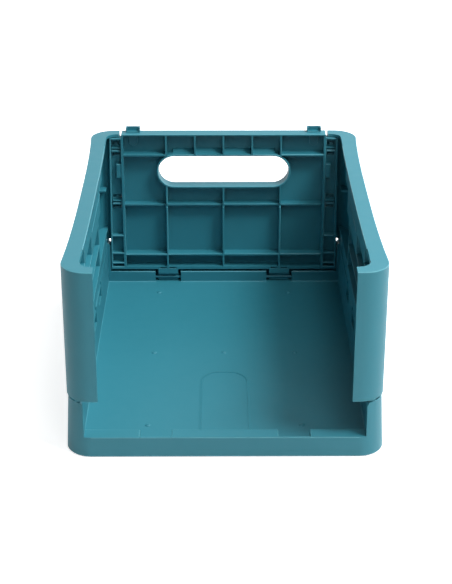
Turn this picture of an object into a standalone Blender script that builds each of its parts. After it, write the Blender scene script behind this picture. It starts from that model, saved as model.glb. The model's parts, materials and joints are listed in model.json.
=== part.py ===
"""Collapsible storage crate with an open front end.

A moulded base tray carries two side walls and one ribbed end panel on hinge pins.
The panel swings forward onto the floor, and the walls then fold in over it.
Origin: middle of the footprint, on the ground. +X right, +Y to the rear, +Z up.
"""

import math

import bmesh
import bpy
from mathutils import Vector

MM = 0.001

# Overall size
WALL_SPAN = 267.6 * MM  # across the outer faces of the side walls, at their ends
CRATE_DEPTH = 361.0 * MM  # front face to rear face
RIM_HEIGHT = 171.0 * MM  # ground to the top of the rim
CORNER_RADIUS = 22.0 * MM  # plan radius of the outer corners

# Base tray
BASE_HEIGHT = 51.0 * MM  # ground to the top of the side rails and corner posts
BASE_STEP = 1.0 * MM  # how far the walls stand out past the top of the base
BASE_FLARE = 2.7 * MM  # how much further out each side is at the ground
FOOT_CHAMFER = 1.5 * MM  # chamfer along the bottom edge
LIP_HEIGHT = 19.4 * MM  # ground to the top of the front and rear rails
END_RAIL = 14.0 * MM  # front and rear rails, measured along the depth
SIDE_RAIL = 11.0 * MM  # side rails, measured across, at their top
POST_WIDTH = 13.8 * MM  # corner posts, measured across, at their top
POST_ROUND = 3.5 * MM  # rounding of the posts' inner top corners
FLOOR_TOP = 7.7 * MM  # ground to the floor's upper face
FLOOR_THICK = 2.6 * MM
RAIL_SKIN = 2.5 * MM  # wall left between a pocket or a hollow and the outside
UNDER_RIB = 3.0 * MM  # ribs between the shallow cells under the floor
UNDER_COLUMNS = 4
UNDER_ROWS = 5

# Side walls
WALL_SEAM = 2.3 * MM  # gap between the base and the lower edge of a wall
WALL_SKIN = 3.0 * MM
WALL_BOW = 3.2 * MM  # how far the rim's outer edge curves in at mid length
WALL_RIB = 2.0 * MM
WALL_RIB_PITCH = 22.6 * MM  # spacing of the long ribs, down from the rim's lip
POCKET_REARS = (-79.0 * MM, -7.0 * MM, 70.0 * MM)  # rear end of each row of pockets, top down
RECESS_FRONTS = (126.0 * MM, 96.0 * MM, 72.0 * MM)  # front end of the rear recess in each row
GUSSET_STEP = 2  # one long rib in this many goes on round the corners
GUSSET_STAND = 0.8 * MM  # how far the corner gussets stand in past the wall's inner face
RIM_WIDTH = 15.4 * MM  # width of the rim along the sides, at their ends
RIM_BOW = 1.6 * MM  # how far the rim's inner edge curves in at mid length
END_RIM_WIDTH = 12.0 * MM  # width of the rim at the wrapped ends
RIM_THICK = 3.0 * MM
RIM_ROUND = 10.5 * MM  # inner plan radius of the rim
RIM_LIP = 14.0 * MM  # height of the slanted lip under the rim's inner edge, rim included
LIP_SKIN = 2.0 * MM
WRAP_REACH = 27.6 * MM  # how far a wall's ends wrap in from its outer face
WALL_FLANGE = 2.5 * MM  # flange along the lower edge

# Rear panel
PANEL_SEAM = 2.6 * MM  # gap between the rear rail and the panel's lower edge
RIDGE_DEPTH = 6.0 * MM  # ridge along the rear rail's outer edge, measured along the depth
RIDGE_GAP = 0.5 * MM  # gap between that ridge and the panel's lower edge
PANEL_GAP = 2.2 * MM  # gap between the panel and a wall's wrapped end
PANEL_THICK = 14.0 * MM
PANEL_SKIN = 2.5 * MM
PANEL_RIB = 1.8 * MM
PANEL_RIM = 3.0 * MM  # flanges along the panel's top and bottom
FLANGE_GAP = 2.0 * MM  # gap between the panel's side flange and a wall's rim
FOOT_GAP = 0.6 * MM  # gap between the flange's lower end and a corner post
CHANNEL_BACK = 2.0 * MM  # plate at the back of a side channel
CHANNEL_GAP = 2.0 * MM  # gap between that plate and a wall's wrapped end
CHANNEL_CHAMFER = 2.0 * MM  # off the channel's outer rear edge, clear of the rounded corner
RIM_CLEARANCE = 0.8 * MM  # gap between a channel's top and the rim above it
HOLE_WIDTH = 134.0 * MM  # hand hole
HOLE_HEIGHT = 32.7 * MM
HOLE_DROP = 39.7 * MM  # rim down to the middle of the hand hole
HOLE_COLLAR = 1.8 * MM
MID_RIB_DROP = 37.4 * MM  # middle of the hand hole down to the long middle rib
MID_RIB_SETBACK = 2.5 * MM  # how far the middle rib stays back from the front
LOW_RIB_RISE = 16.6 * MM  # panel's lower edge up to the long low rib
SHOULDER_RIB_RISE = 17.4 * MM  # middle of the hand hole up to the ribs beside it
CHANNEL_LEDGES = (7.0 * MM, 18.0 * MM, 38.0 * MM)  # small ribs, from the panel's lower edge
BLOCK_HEIGHT = 15.0 * MM  # stop block in a side channel, level with the hand hole
BLOCK_WIDTH = 5.0 * MM
BLOCK_SETBACK = 1.0 * MM  # how far a stop block stays back from the front

# Hinges
HINGE_SPREAD = 58.6 * MM  # crate's middle to the middle of an end hinge
END_POCKET = 27.0 * MM  # width of a hinge pocket in an end rail
END_HINGE_INSET = 10.5 * MM  # crate's end face in to an end hinge's axis
END_HINGE_RISE = 4.3 * MM  # floor up to an end hinge's axis
WALL_POCKET = 24.0 * MM  # width of a hinge pocket in a side rail
WALL_POCKET_ROOM = 7.5 * MM  # room left in that pocket under a wall's hinge barrel
WALL_HINGE_INSET = 7.0 * MM  # base's outer face in to a side hinge's axis
WALL_HINGE_DROP = 4.8 * MM  # base's top down to a side hinge's axis
WALL_HINGE_PITCH = 60.0 * MM
WALL_LUG = 4.0 * MM  # thickness of a wall's hinge lug
PIN_RADIUS = 1.6 * MM
PIN_GRIP = 4.0 * MM  # length of pin held at each side of a pocket
PIN_CLEARANCE = 0.3 * MM
HINGE_GAP = 0.5 * MM  # running gap round a hinge barrel
LUG_SIDE_GAP = 1.0 * MM  # gap at each side of a lug in its pocket
WINDOW_RISE = 5.0 * MM  # hinge axis up to the top of the opening in a panel lug's front

# Clips and stacking tabs
CLIP_WIDTH = 6.5 * MM
CLIP_HEIGHT = 4.8 * MM
CLIP_DEPTH = 4.5 * MM
CLIP_WALL = 1.2 * MM
CLIP_SLOT = 4.0 * MM  # height of the slots through the channel's back, above and below a clip
CLIP_SLOT_EDGE = 1.0 * MM  # plate left between a slot and a clip, and beside a slot
CLIP_LEVELS = {"upper": 22.8 * MM, "lower": -34.5 * MM}  # from the middle of the hand hole
TAB_INSET = 11.7 * MM  # panel's side edge in to the middle of a tab
TAB_WIDTH = 14.4 * MM
TAB_DEPTH = 6.5 * MM
TAB_HEIGHT = 4.9 * MM  # how far a tab stands above the rim
TAB_BACK = 0.5 * MM  # panel's rear face in to a tab's rear face
TONGUE_WIDTH = 9.0 * MM
TONGUE_THICK = 2.4 * MM
TONGUE_REACH = 12.0 * MM  # rim's underside down to the tip of a tab's tongue
SEAT = 0.3 * MM  # gap left between two pieces that touch

# How finely curves are drawn, and how far cutters run past a face
ARC_STEPS = 8
BOW_STEPS = 12
PIN_SIDES = 16
OVERRUN = 2.0 * MM

# Sizes that follow from the ones above
WALL_HALF = WALL_SPAN / 2
DEPTH_HALF = CRATE_DEPTH / 2
BASE_HALF = WALL_HALF - BASE_STEP
RAIL_INNER = BASE_HALF - SIDE_RAIL
POST_INNER = BASE_HALF - POST_WIDTH
END_INNER = DEPTH_HALF - END_RAIL
WALL_BOTTOM = BASE_HEIGHT + WALL_SEAM
WRAP_END = WALL_HALF - WRAP_REACH
RIM_INNER = WALL_HALF - RIM_WIDTH
RIM_UNDER = RIM_HEIGHT - RIM_THICK
LIP_BOTTOM = RIM_HEIGHT - RIM_LIP
PANEL_HALF = WRAP_END - PANEL_GAP
FLANGE_HALF = RIM_INNER - FLANGE_GAP
FLANGE_FOOT = POST_INNER - FOOT_GAP
PANEL_BOTTOM = LIP_HEIGHT + PANEL_SEAM
RIDGE_TOP = PANEL_BOTTOM - RIDGE_GAP
PANEL_FRONT = DEPTH_HALF - PANEL_THICK
CHANNEL_REAR = DEPTH_HALF - WALL_SKIN - CHANNEL_GAP
CHANNEL_TOP = RIM_UNDER - RIM_CLEARANCE
HOLE_Z = RIM_HEIGHT - HOLE_DROP
END_AXIS_Y = DEPTH_HALF - END_HINGE_INSET
END_AXIS_Z = FLOOR_TOP + END_HINGE_RISE
END_BARREL = END_HINGE_RISE - HINGE_GAP
WALL_AXIS_X = BASE_HALF - WALL_HINGE_INSET
WALL_AXIS_Z = BASE_HEIGHT - WALL_HINGE_DROP
WALL_BARREL = WALL_HINGE_INSET - RAIL_SKIN - HINGE_GAP
WALL_POCKET_FLOOR = WALL_AXIS_Z - WALL_BARREL - WALL_POCKET_ROOM
BORE_RADIUS = PIN_RADIUS + PIN_CLEARANCE
WALL_HINGE_ROWS = {"front": -WALL_HINGE_PITCH, "middle": 0.0, "rear": WALL_HINGE_PITCH}
SIDES = {"left": -1.0, "right": 1.0}

# Colours of the moulded plastic
TEAL = (0.047, 0.235, 0.290, 1.0)
DEEP_TEAL = (0.040, 0.205, 0.255, 1.0)


def clear_scene():
    """Remove every object of the scene."""
    for item in list(bpy.data.objects):
        bpy.data.objects.remove(item, do_unlink=True)


def plastic(name, colour, roughness):
    """Return a matt moulded plastic."""
    finish = bpy.data.materials.new(name)
    finish.use_nodes = True
    shader = finish.node_tree.nodes["Principled BSDF"]
    shader.inputs["Base Color"].default_value = colour
    shader.inputs["Roughness"].default_value = roughness
    shader.inputs["Metallic"].default_value = 0.0
    return finish


def arc(centre, radius, start, end, steps=ARC_STEPS):
    """Return points along an arc, with its angles in degrees."""
    points = []
    for step in range(steps + 1):
        angle = math.radians(start + (end - start) * step / steps)
        points.append((centre[0] + radius * math.cos(angle), centre[1] + radius * math.sin(angle)))
    return points


def stacked(rings):
    """Join outlines, in step with each other from the bottom up, into one closed solid."""
    shape = bmesh.new()
    levels = [[shape.verts.new(point) for point in ring] for ring in rings]
    shape.faces.new(levels[0])
    shape.faces.new(levels[-1])
    for low, high in zip(levels, levels[1:]):
        for index, corner in enumerate(low):
            after = (index + 1) % len(low)
            shape.faces.new((corner, low[after], high[after]))
            shape.faces.new((corner, high[after], high[index]))
    bmesh.ops.recalc_face_normals(shape, faces=shape.faces)
    return shape


def prism(outline, low, high, axis="Z"):
    """Extrude a flat outline along an axis. X takes (y, z) points and Y takes (x, z) points."""
    place = {
        "X": lambda a, b, c: (c, a, b),
        "Y": lambda a, b, c: (a, c, b),
        "Z": lambda a, b, c: (a, b, c),
    }[axis]
    return stacked([[place(a, b, level) for a, b in outline] for level in (low, high)])


def box(x, y, z):
    """Return a box from its (low, high) limits along each axis."""
    outline = [(x[0], y[0]), (x[1], y[0]), (x[1], y[1]), (x[0], y[1])]
    return prism(outline, z[0], z[1])


def rod(radius, low, high, at, axis):
    """Return a round bar along X or Y, at a (y, z) or (x, z) place."""
    ring = arc(at, radius, 0, 360, PIN_SIDES)[:-1]
    return prism(ring, low, high, axis)


def merged(shapes):
    """Put several shapes that don't touch into one bmesh."""
    whole = bmesh.new()
    for shape in shapes:
        scratch = bpy.data.meshes.new("scratch")
        shape.to_mesh(scratch)
        shape.free()
        whole.from_mesh(scratch)
        bpy.data.meshes.remove(scratch)
    return whole


def new_object(name, shape, finish=None):
    """Return a scene object that holds a bmesh, which is freed."""
    mesh = bpy.data.meshes.new(name)
    shape.to_mesh(mesh)
    shape.free()
    item = bpy.data.objects.new(name, mesh)
    bpy.context.scene.collection.objects.link(item)
    if finish:
        mesh.materials.append(finish)
    return item


def combine(item, shapes, operation):
    """Cut shapes out of an object or join them to it. The shapes don't touch each other."""
    tool = new_object("tool", merged(shapes))
    step = item.modifiers.new("combine", "BOOLEAN")
    step.solver = "EXACT"
    step.operation = operation
    step.object = tool
    graph = bpy.context.evaluated_depsgraph_get()
    result = bpy.data.meshes.new_from_object(item.evaluated_get(graph))
    item.modifiers.clear()
    former = item.data
    item.data = result
    bpy.data.meshes.remove(former)
    bpy.data.objects.remove(tool, do_unlink=True)


def cut(item, shapes):
    """Cut shapes out of an object."""
    combine(item, shapes, "DIFFERENCE")


def join(item, shapes):
    """Join shapes to an object."""
    combine(item, shapes, "UNION")


def finish_mesh(item, merge=0.000001, flat_angle=0.0005, sharp_angle=0.6):
    """Clean what the cuts leave behind, and shade round stretches smooth."""
    shape = bmesh.new()
    shape.from_mesh(item.data)
    bmesh.ops.remove_doubles(shape, verts=shape.verts, dist=merge)
    bmesh.ops.dissolve_degenerate(shape, edges=shape.edges, dist=merge)
    bmesh.ops.dissolve_limit(shape, angle_limit=flat_angle, verts=shape.verts, edges=shape.edges)
    bmesh.ops.triangulate(shape, faces=shape.faces)
    shape.to_mesh(item.data)
    shape.free()
    item.data.shade_smooth()
    item.data.set_sharp_from_angle(angle=sharp_angle)


def pivot(name, place):
    """Return an empty that stands on a joint's axis."""
    empty = bpy.data.objects.new(name, None)
    empty.location = place
    bpy.context.scene.collection.objects.link(empty)
    return empty


def hang_on(item, empty):
    """Parent an object to a pivot and keep it where it is."""
    item.parent = empty
    item.location = -Vector(empty.location)


def mirrored(shape, side):
    """Mirror a shape made for the right side when it is for the left one."""
    if side < 0:
        bmesh.ops.scale(shape, vec=(-1, 1, 1), verts=shape.verts)
        bmesh.ops.reverse_faces(shape, faces=shape.faces)
    return shape


def base_outline(half_width, inset, height):
    """Return the base's rounded outline at a height, drawn in by an inset."""
    across = half_width - CORNER_RADIUS
    along = DEPTH_HALF - CORNER_RADIUS
    points = []
    for turn, (x, y) in enumerate(((1, 1), (-1, 1), (-1, -1), (1, -1))):
        corner = (x * across, y * along)
        points += arc(corner, CORNER_RADIUS - inset, 90 * turn, 90 * turn + 90)
    return [(x, y, height) for x, y in points]


def flare(height):
    """Return the base's half width at a height."""
    return BASE_HALF + BASE_FLARE * (1 - height / BASE_HEIGHT)


def opening_outline(bottom):
    """Return the open end above a rail's top, in X and Z, flared over the rounded posts."""
    top = BASE_HEIGHT
    right = arc((POST_INNER + POST_ROUND, top - POST_ROUND), POST_ROUND, 180, 90)
    right += [(POST_INNER + POST_ROUND, top + OVERRUN)]
    left = [(-x, z) for x, z in reversed(right)]
    return [(-POST_INNER, bottom), (POST_INNER, bottom)] + right + left


def floor_cells():
    """Return the shallow cells under the floor."""
    cells = []
    pitch_x = 2 * RAIL_INNER / UNDER_COLUMNS
    pitch_y = 2 * END_INNER / UNDER_ROWS
    depth = FLOOR_TOP - FLOOR_THICK
    for column in range(UNDER_COLUMNS):
        for row in range(UNDER_ROWS):
            left = -RAIL_INNER + column * pitch_x + UNDER_RIB / 2
            front = -END_INNER + row * pitch_y + UNDER_RIB / 2
            across = (left, left + pitch_x - UNDER_RIB)
            along = (front, front + pitch_y - UNDER_RIB)
            cells.append(box(across, along, (-OVERRUN, depth)))
    return cells


def rail_hollows():
    """Return the hollows of the rails, open at the ground."""
    hollows = []
    side_top = WALL_POCKET_FLOOR - RAIL_SKIN
    end_top = LIP_HEIGHT - RAIL_SKIN
    held = END_POCKET / 2 + PIN_GRIP + RAIL_SKIN
    inner_span = HINGE_SPREAD - held
    outer_span = (HINGE_SPREAD + held, RAIL_INNER - RAIL_SKIN)
    along = (END_INNER + RAIL_SKIN, DEPTH_HALF - RAIL_SKIN)
    for side in SIDES.values():
        across = sorted((side * (RAIL_INNER + RAIL_SKIN), side * (BASE_HALF - RAIL_SKIN)))
        reach = END_INNER - RAIL_SKIN
        hollows.append(box(across, (-reach, reach), (-OVERRUN, side_top)))
        end = sorted((side * along[0], side * along[1]))
        hollows.append(box((-inner_span, inner_span), end, (-OVERRUN, end_top)))
        for flank in SIDES.values():
            span = sorted((flank * outer_span[0], flank * outer_span[1]))
            hollows.append(box(span, end, (-OVERRUN, end_top)))
    return hollows


def end_hinges():
    """Yield the (side, end, x, y) of each hinge pocket in the front and rear rails."""
    for end_name, end in (("front", -1.0), ("rear", 1.0)):
        for side_name, side in SIDES.items():
            yield f"{end_name}_hinge_pin_{side_name}", end, side * HINGE_SPREAD, end * END_AXIS_Y


def wall_hinges():
    """Yield the name, side and place along Y of each hinge pocket in the side rails."""
    for side_name, side in SIDES.items():
        for row_name, along in WALL_HINGE_ROWS.items():
            yield f"{side_name}_wall_pin_{row_name}", side, along


def hinge_cuts():
    """Return the pockets and the bores of all the hinges in the base."""
    pockets = []
    bores = []
    half = END_POCKET / 2
    bore_half = half + PIN_GRIP + SEAT
    for _, end, x, y in end_hinges():
        along = sorted((end * (END_INNER - OVERRUN), end * (DEPTH_HALF - RAIL_SKIN)))
        pockets.append(box((x - half, x + half), along, (FLOOR_TOP, PANEL_BOTTOM + OVERRUN)))
        bores.append(rod(BORE_RADIUS, x - bore_half, x + bore_half, (y, END_AXIS_Z), "X"))
    half = WALL_POCKET / 2
    bore_half = half + PIN_GRIP + SEAT
    for _, side, y in wall_hinges():
        across = sorted((side * (RAIL_INNER - OVERRUN), side * (BASE_HALF - RAIL_SKIN)))
        height = (WALL_POCKET_FLOOR, BASE_HEIGHT + OVERRUN)
        pockets.append(box(across, (y - half, y + half), height))
        place = (side * WALL_AXIS_X, WALL_AXIS_Z)
        bores.append(rod(BORE_RADIUS, y - bore_half, y + bore_half, place, "Y"))
    return pockets, bores


def build_base(finish):
    """Return the base tray: floor, rails, corner posts and hinge pockets."""
    foot = base_outline(flare(0), FOOT_CHAMFER, 0)
    ankle = base_outline(flare(FOOT_CHAMFER), 0, FOOT_CHAMFER)
    top = base_outline(flare(BASE_HEIGHT), 0, BASE_HEIGHT)
    tray = new_object("base_tray", stacked([foot, ankle, top]), finish)
    room = (FLOOR_TOP, BASE_HEIGHT + OVERRUN)
    cut(tray, [box((-RAIL_INNER, RAIL_INNER), (-END_INNER, END_INNER), room)])
    reach = DEPTH_HALF + OVERRUN
    cut(tray, [
        prism(opening_outline(RIDGE_TOP), END_INNER - OVERRUN, reach, "Y"),
        prism(opening_outline(LIP_HEIGHT), -reach, OVERRUN - END_INNER, "Y"),
    ])
    seat = (END_INNER - OVERRUN, DEPTH_HALF - RIDGE_DEPTH)
    cut(tray, [box((-POST_INNER, POST_INNER), seat, (LIP_HEIGHT, PANEL_BOTTOM))])
    pockets, bores = hinge_cuts()
    cut(tray, pockets)
    cut(tray, bores)
    cut(tray, floor_cells() + rail_hollows())
    finish_mesh(tray)
    return tray


def bowed_run(across, along, radius, bow):
    """Return a line from front to rear with rounded ends, curved in between them by a bow."""
    side = []
    for step in range(1, BOW_STEPS):
        share = 2 * step / BOW_STEPS - 1
        side.append((across + radius - bow * (1 - abs(share) ** 3), along * share))
    return arc((across, -along), radius, -90, 0) + side + arc((across, along), radius, 0, 90)


def bowed_side(offset, bow):
    """Return the line of a right wall's outer face from front to rear, moved in by an offset."""
    across = WALL_HALF - CORNER_RADIUS
    along = DEPTH_HALF - CORNER_RADIUS
    return bowed_run(across, along, CORNER_RADIUS - offset, bow)


def inner_edge(half_width, bow):
    """Return the inner edge of a right wall from rear to front, at a half width."""
    along = DEPTH_HALF - END_RIM_WIDTH - RIM_ROUND
    edge = bowed_run(half_width - RIM_ROUND, along, RIM_ROUND, bow)
    end = along + RIM_ROUND
    return [(WRAP_END, end)] + edge[::-1] + [(WRAP_END, -end)]


def wall_outline(height, inside, share=0.0):
    """Return a right wall's outline, seen from above, with a share of the rim's inner bow."""
    outer = [(WRAP_END, -DEPTH_HALF)] + bowed_side(0, wall_bow(height)) + [(WRAP_END, DEPTH_HALF)]
    return [(x, y, height) for x, y in outer + inner_edge(inside, share * RIM_BOW)]


def between(path, low, high):
    """Return the stretch of a front to rear path between two places along Y, cut square."""
    stretch = []
    for (x0, y0), (x1, y1) in zip(path, path[1:]):
        for edge in (low, high):
            if y0 < edge < y1:
                stretch.append((x0 + (x1 - x0) * (edge - y0) / (y1 - y0), edge))
        if low <= y1 <= high:
            stretch.append((x1, y1))
    return sorted(set(stretch), key=lambda point: point[1])


def wall_ribs():
    """Return the levels of a wall's long ribs, from the top down."""
    levels = []
    level = LIP_BOTTOM - WALL_RIB_PITCH
    while level > WALL_BOTTOM + WALL_FLANGE + 2 * WALL_RIB:
        levels.append(level)
        level -= WALL_RIB_PITCH
    return levels


def wall_rows():
    """Return the (low, high, pocket rear, recess front) of each row in a wall, from the top down."""
    ribs = wall_ribs()
    highs = [LIP_BOTTOM] + [rib - WALL_RIB / 2 for rib in ribs[:-1]]
    lows = [rib + WALL_RIB / 2 for rib in ribs]
    rears = POCKET_REARS + POCKET_REARS[-1:] * len(ribs)
    recesses = RECESS_FRONTS + RECESS_FRONTS[-1:] * len(ribs)
    return list(zip(lows, highs, rears, recesses))


def corner_rows():
    """Return the (low, high) limits of the corner pockets, between the gussets."""
    gussets = wall_ribs()[GUSSET_STEP - 1::GUSSET_STEP]
    highs = [RIM_UNDER] + [gusset - WALL_RIB / 2 for gusset in gussets]
    lows = [gusset + WALL_RIB / 2 for gusset in gussets] + [WALL_BOTTOM - OVERRUN]
    return list(zip(lows, highs))


def wall_bow(height):
    """Return how far a wall is bowed in at a height."""
    return WALL_BOW * (height - WALL_BOTTOM) / (RIM_HEIGHT - WALL_BOTTOM)


def wall_pocket(front, rear, inside, low, high):
    """Return a pocket of a right wall, from a place across out to the wall's skin."""
    path = bowed_side(WALL_SKIN, wall_bow(high))
    outline = [(inside, front)] + between(path, front, rear) + [(inside, rear)]
    return prism(outline, low, high)


def wall_pockets():
    """Return the pockets between a right wall's ribs, open to the crate's inside."""
    inside = WRAP_END - OVERRUN
    corner = DEPTH_HALF - CORNER_RADIUS
    pockets = []
    for low, high, rear, _ in wall_rows():
        pockets.append(wall_pocket(WALL_RIB / 2 - corner, rear, inside, low, high))
    start = corner + WALL_RIB / 2
    skin = [point for point in bowed_side(WALL_SKIN, 0) if point[1] > start]
    outline = [(inside, start), (WALL_HALF - WALL_SKIN, start)] + skin
    outline.append((inside, DEPTH_HALF - WALL_SKIN))
    for low, high in corner_rows():
        pockets.append(prism(outline, low, high))
        pockets.append(prism([(x, -y) for x, y in outline], low, high))
    return pockets


def lug_free(front, rear):
    """Yield the stretches between two places along Y that have no hinge lug on them."""
    hold = WALL_POCKET / 2 + WALL_RIB
    for along in sorted(WALL_HINGE_ROWS.values()):
        if front < along - hold:
            yield front, min(rear, along - hold)
        front = max(front, min(rear, along + hold))
    if front < rear:
        yield front, rear


def wall_hollows():
    """Return the hollows behind the flush part of a right wall, each open at its lower end."""
    behind = RAIL_INNER + LIP_SKIN
    end = DEPTH_HALF - CORNER_RADIUS - WALL_RIB / 2
    edge = WALL_BOTTOM - OVERRUN
    rows = wall_rows()
    spans = [span + (edge, rows[-1][0] - WALL_RIB) for span in lug_free(-end, end)]
    for (_, _, front, recess), (_, high, rear, lower_recess) in zip(rows, rows[1:]):
        spans.append((front + WALL_RIB, rear, high - OVERRUN, RIM_UNDER))
        spans.append((lower_recess, recess - WALL_RIB, high - OVERRUN, RIM_UNDER))
    return [
        wall_pocket(front, rear, behind, low, high)
        for front, rear, low, high in spans if rear - front > WALL_RIB
    ]


def rear_recesses():
    """Return the deep recesses at the rear end of a right wall, from the top down."""
    inside = WRAP_END - OVERRUN
    end = DEPTH_HALF - CORNER_RADIUS + WALL_RIB
    recesses = []
    top = RIM_UNDER
    for low, _, _, front in wall_rows():
        recesses.append(wall_pocket(front, end, inside, low, top))
        top = low + OVERRUN
    return recesses


def wall_recesses():
    """Return the hollow behind the rim's lip and the room for the end panels' channels."""
    behind = RAIL_INNER + LIP_SKIN
    low = LIP_BOTTOM - WALL_RIB
    front = WALL_RIB / 2 - DEPTH_HALF + CORNER_RADIUS
    recesses = [wall_pocket(front, POCKET_REARS[0], behind, low, RIM_UNDER)]
    across = (WRAP_END - OVERRUN, RAIL_INNER - GUSSET_STAND)
    height = (WALL_BOTTOM - OVERRUN, RIM_UNDER - WALL_RIB)
    start = DEPTH_HALF - CORNER_RADIUS + WALL_RIB
    skin = bowed_side(WALL_SKIN, 0)
    for end in (-1, 1):
        back = [point for point in skin if point[0] < across[1] and end * point[1] > 0]
        ring = [(across[0], end * start), (across[1], end * start)]
        ring += [(across[1], end * corner_meet(across[1]))] + sorted(back, reverse=True)
        ring.append((across[0], end * (DEPTH_HALF - WALL_SKIN)))
        recesses.append(prism(ring, height[0], height[1]))
    return recesses


def corner_meet(x):
    """Return how far along Y the inside of a wall's rounded corner is at a place across."""
    radius = CORNER_RADIUS - WALL_SKIN
    offset = x - (WALL_HALF - CORNER_RADIUS)
    return DEPTH_HALF - CORNER_RADIUS + math.sqrt(radius * radius - offset * offset)


def wall_lugs():
    """Return the hinge lugs of a right wall, their barrels and their bores."""
    lugs = []
    barrels = []
    bores = []
    half = WALL_POCKET / 2 - LUG_SIDE_GAP
    axis = (WALL_AXIS_X, WALL_AXIS_Z)
    across = (WALL_AXIS_X - WALL_LUG / 2, WALL_AXIS_X + WALL_LUG / 2)
    for along in WALL_HINGE_ROWS.values():
        span = (along - half, along + half)
        lugs.append(box(across, span, (WALL_AXIS_Z, WALL_BOTTOM + WALL_FLANGE / 2)))
        barrels.append(rod(WALL_BARREL, span[0], span[1], axis, "Y"))
        bores.append(rod(BORE_RADIUS, span[0] - OVERRUN, span[1] + OVERRUN, axis, "Y"))
    return lugs, barrels, bores


def build_wall(side_name, finish):
    """Return one side wall: skin, wrapped ends, rim, ribs and hinge lugs."""
    side = SIDES[side_name]
    body = stacked([
        wall_outline(WALL_BOTTOM, RAIL_INNER), wall_outline(LIP_BOTTOM, RAIL_INNER),
        wall_outline(RIM_UNDER, RIM_INNER, 1.0), wall_outline(RIM_HEIGHT, RIM_INNER, 1.0),
    ])
    wall = new_object(f"{side_name}_wall", mirrored(body, side), finish)
    cut(wall, [mirrored(pocket, side) for pocket in wall_pockets()])
    cut(wall, [mirrored(recess, side) for recess in wall_recesses()])
    for recess in rear_recesses():
        cut(wall, [mirrored(recess, side)])
    cut(wall, [mirrored(hollow, side) for hollow in wall_hollows()])
    lugs, barrels, bores = wall_lugs()
    join(wall, [mirrored(lug, side) for lug in lugs])
    join(wall, [mirrored(barrel, side) for barrel in barrels])
    cut(wall, [mirrored(bore, side) for bore in bores])
    finish_mesh(wall)
    return wall


def stadium(width, height):
    """Return the outline of the hand hole, in X and Z, at a given size."""
    radius = height / 2
    reach = width / 2 - radius
    return arc((reach, HOLE_Z), radius, -90, 90, 2 * ARC_STEPS) + arc(
        (-reach, HOLE_Z), radius, 90, 270, 2 * ARC_STEPS)


def rib_gaps(ribs):
    """Yield the gap between each rib and the next, from the middles of the ribs."""
    for low, high in zip(ribs, ribs[1:]):
        yield low + PANEL_RIB / 2, high - PANEL_RIB / 2


def panel_pockets():
    """Return the pockets between the panel's ribs, open to the crate's inside."""
    depth = (PANEL_FRONT - OVERRUN, DEPTH_HALF - PANEL_SKIN)
    edge = PANEL_HALF - PANEL_RIB / 2
    top = RIM_HEIGHT - PANEL_RIM
    bottom = PANEL_BOTTOM + PANEL_RIM
    low_rib = PANEL_BOTTOM + LOW_RIB_RISE
    mid_rib = HOLE_Z - MID_RIB_DROP
    shoulder = HOLE_Z + SHOULDER_RIB_RISE
    half_rib = PANEL_RIB / 2
    lower_rows = [(bottom, low_rib - half_rib), (low_rib + half_rib, mid_rib - half_rib)]
    side_rows = [(mid_rib + half_rib, shoulder - half_rib), (shoulder + half_rib, top)]
    main_ribs = [-edge, -HINGE_SPREAD, 0.0, HINGE_SPREAD, edge]
    upper_ribs = [-HINGE_SPREAD, -HINGE_SPREAD / 2, 0.0, HINGE_SPREAD / 2, HINGE_SPREAD]
    pockets = []
    for across in rib_gaps(main_ribs):
        rows = list(lower_rows)
        if abs(across[0] + across[1]) / 2 > HINGE_SPREAD:
            rows += side_rows
        else:
            rows.append((mid_rib + half_rib, HOLE_Z - PANEL_RIB))
        pockets += [box(across, depth, row) for row in rows]
    for across in rib_gaps(upper_ribs):
        pockets.append(box(across, depth, (HOLE_Z + PANEL_RIB, top)))
    return pockets


def flange_half(height):
    """Return the half width of the panel's side flanges, which spread towards the floor."""
    share = (CHANNEL_TOP - height) / (CHANNEL_TOP - PANEL_BOTTOM)
    return FLANGE_HALF + (FLANGE_FOOT - FLANGE_HALF) * share


def channel_pocket(side, start, depth, height):
    """Return a pocket of a side channel, from a place across out to the slanted flange."""
    rings = []
    for level in height:
        across = sorted((side * start, side * (flange_half(level) - PANEL_RIB)))
        rings.append([(x, y, level) for x, y in zip(across + across[::-1], sorted(depth * 2))])
    return stacked(rings)


def channel_pockets():
    """Return the pockets of the channels along the panel's two sides."""
    inner = PANEL_HALF + PANEL_RIB / 2
    depth = (PANEL_FRONT - OVERRUN, CHANNEL_REAR - CHANNEL_BACK)
    ledges = [PANEL_BOTTOM + rise for rise in CHANNEL_LEDGES]
    lows = [PANEL_BOTTOM + PANEL_RIM] + [ledge + PANEL_RIB / 2 for ledge in ledges]
    highs = [ledge - PANEL_RIB / 2 for ledge in ledges] + [CHANNEL_TOP - PANEL_RIB]
    pockets = []
    for height in zip(lows, highs):
        pockets += [channel_pocket(side, inner, depth, height) for side in SIDES.values()]
    return pockets


def clip_slots():
    """Return the slots through the channels' back plates, above and below each clip."""
    depth = (CHANNEL_REAR - CHANNEL_BACK - OVERRUN, CHANNEL_REAR + OVERRUN)
    near = CLIP_HEIGHT / 2 + CLIP_SLOT_EDGE
    slots = []
    for rise in CLIP_LEVELS.values():
        level = HOLE_Z + rise
        start = PANEL_HALF + PANEL_RIB / 2 + CLIP_SLOT_EDGE
        reach = flange_half(level) - PANEL_RIB - CLIP_SLOT_EDGE
        for side in SIDES.values():
            across = sorted((side * start, side * reach))
            slots.append(box(across, depth, (level + near, level + near + CLIP_SLOT)))
            slots.append(box(across, depth, (level - near - CLIP_SLOT, level - near)))
    return slots


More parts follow.
